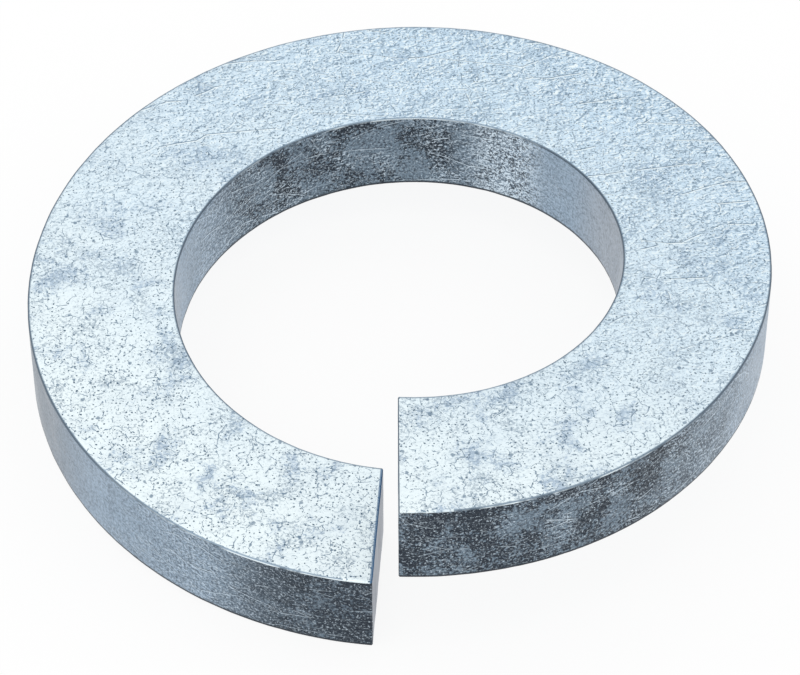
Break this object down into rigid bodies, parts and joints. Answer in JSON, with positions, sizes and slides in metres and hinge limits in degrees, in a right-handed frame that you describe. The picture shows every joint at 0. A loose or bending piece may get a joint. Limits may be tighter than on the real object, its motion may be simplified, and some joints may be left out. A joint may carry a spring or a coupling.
{
  "type": "spring lock washer",
  "caption": "Split helical spring lock washer of rectangular section with square cut ends, for a 12 mm bolt.",
  "frame": {"origin": "on the bolt's axis, level with the underside of the low end, where the relaxed washer touches the surface below it", "axes": "+Z along the bolt's axis towards its head; -Y through the split, at the high end's cut face; +X to the right seen from the split"},
  "size_m": [0.0202, 0.0202, 0.0052],
  "materials": {
    "zinc_steel": "pale blue zinc coating on spring steel, cloudy, finely pitted and hair scratched"
  },
  "bodies": {
    "root": {"spring_washer": "zinc_steel"}
  },
  "joints": []
}
